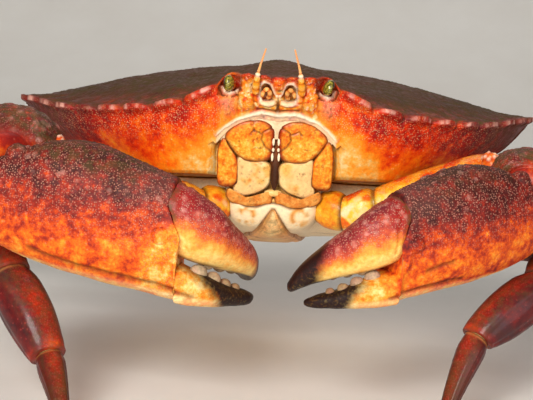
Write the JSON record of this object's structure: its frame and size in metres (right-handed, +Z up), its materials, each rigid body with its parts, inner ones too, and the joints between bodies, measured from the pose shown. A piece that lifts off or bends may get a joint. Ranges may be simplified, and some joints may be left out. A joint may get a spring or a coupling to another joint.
{
  "type": "red rock crab",
  "caption": "Life-size still model of a red rock crab, standing with its heavy claws folded before its mouth.",
  "frame": {"origin": "middle of the bounding box in plan, at the level of the floor under the feet", "axes": "+X to the crab's own left, -Y the way it faces, +Z up"},
  "size_m": [0.2763, 0.1774, 0.0976],
  "materials": {
    "shell_dark_red": "satin, fine granules",
    "breast_cream": "satin",
    "tail_cream": "satin",
    "mouthpart_orange": "satin",
    "mouthpart_cream": "satin",
    "eye_olive": "gloss",
    "feeler_orange": "satin",
    "claw_base_cream": "satin",
    "claw_arm_orange": "satin",
    "claw_dark_red": "satin",
    "claw_palm_red": "satin, granular",
    "claw_finger_pink": "satin, granular",
    "leg_red": "satin",
    "leg_tip_brown": "satin"
  },
  "bodies": {
    "root": {"carapace": "shell_dark_red", "thorax": "breast_cream", "abdomen": "tail_cream", "maxilliped_left_merus": "mouthpart_orange", "maxilliped_left_ischium": "mouthpart_cream", "maxilliped_left_exopod": "mouthpart_orange", "eye_left": "eye_olive", "antenna_left": "feeler_orange", "antennule_left": "feeler_orange", "claw_left_coxa": "claw_base_cream", "claw_left_merus": "claw_arm_orange", "claw_left_carpus": "claw_dark_red", "claw_left_propodus": "claw_palm_red", "claw_left_dactyl": "claw_finger_pink", "leg_left_1_merus": "leg_red", "leg_left_1_carpus": "leg_red", "leg_left_1_propodus": "leg_red", "leg_left_1_dactyl": "leg_tip_brown", "leg_left_2_merus": "leg_red", "leg_left_2_carpus": "leg_red", "leg_left_2_propodus": "leg_red", "leg_left_2_dactyl": "leg_tip_brown", "leg_left_3_merus": "leg_red", "leg_left_3_carpus": "leg_red", "leg_left_3_propodus": "leg_red", "leg_left_3_dactyl": "leg_tip_brown", "leg_left_4_merus": "leg_red", "leg_left_4_carpus": "leg_red", "leg_left_4_propodus": "leg_red", "leg_left_4_dactyl": "leg_tip_brown", "maxilliped_right_merus": "mouthpart_orange", "maxilliped_right_ischium": "mouthpart_cream", "maxilliped_right_exopod": "mouthpart_orange", "eye_right": "eye_olive", "antenna_right": "feeler_orange", "antennule_right": "feeler_orange", "claw_right_coxa": "claw_base_cream", "claw_right_merus": "claw_arm_orange", "claw_right_carpus": "claw_dark_red", "claw_right_propodus": "claw_palm_red", "claw_right_dactyl": "claw_finger_pink", "leg_right_1_merus": "leg_red", "leg_right_1_carpus": "leg_red", "leg_right_1_propodus": "leg_red", "leg_right_1_dactyl": "leg_tip_brown", "leg_right_2_merus": "leg_red", "leg_right_2_carpus": "leg_red", "leg_right_2_propodus": "leg_red", "leg_right_2_dactyl": "leg_tip_brown", "leg_right_3_merus": "leg_red", "leg_right_3_carpus": "leg_red", "leg_right_3_propodus": "leg_red", "leg_right_3_dactyl": "leg_tip_brown", "leg_right_4_merus": "leg_red", "leg_right_4_carpus": "leg_red", "leg_right_4_propodus": "leg_red", "leg_right_4_dactyl": "leg_tip_brown"}
  },
  "joints": []
}
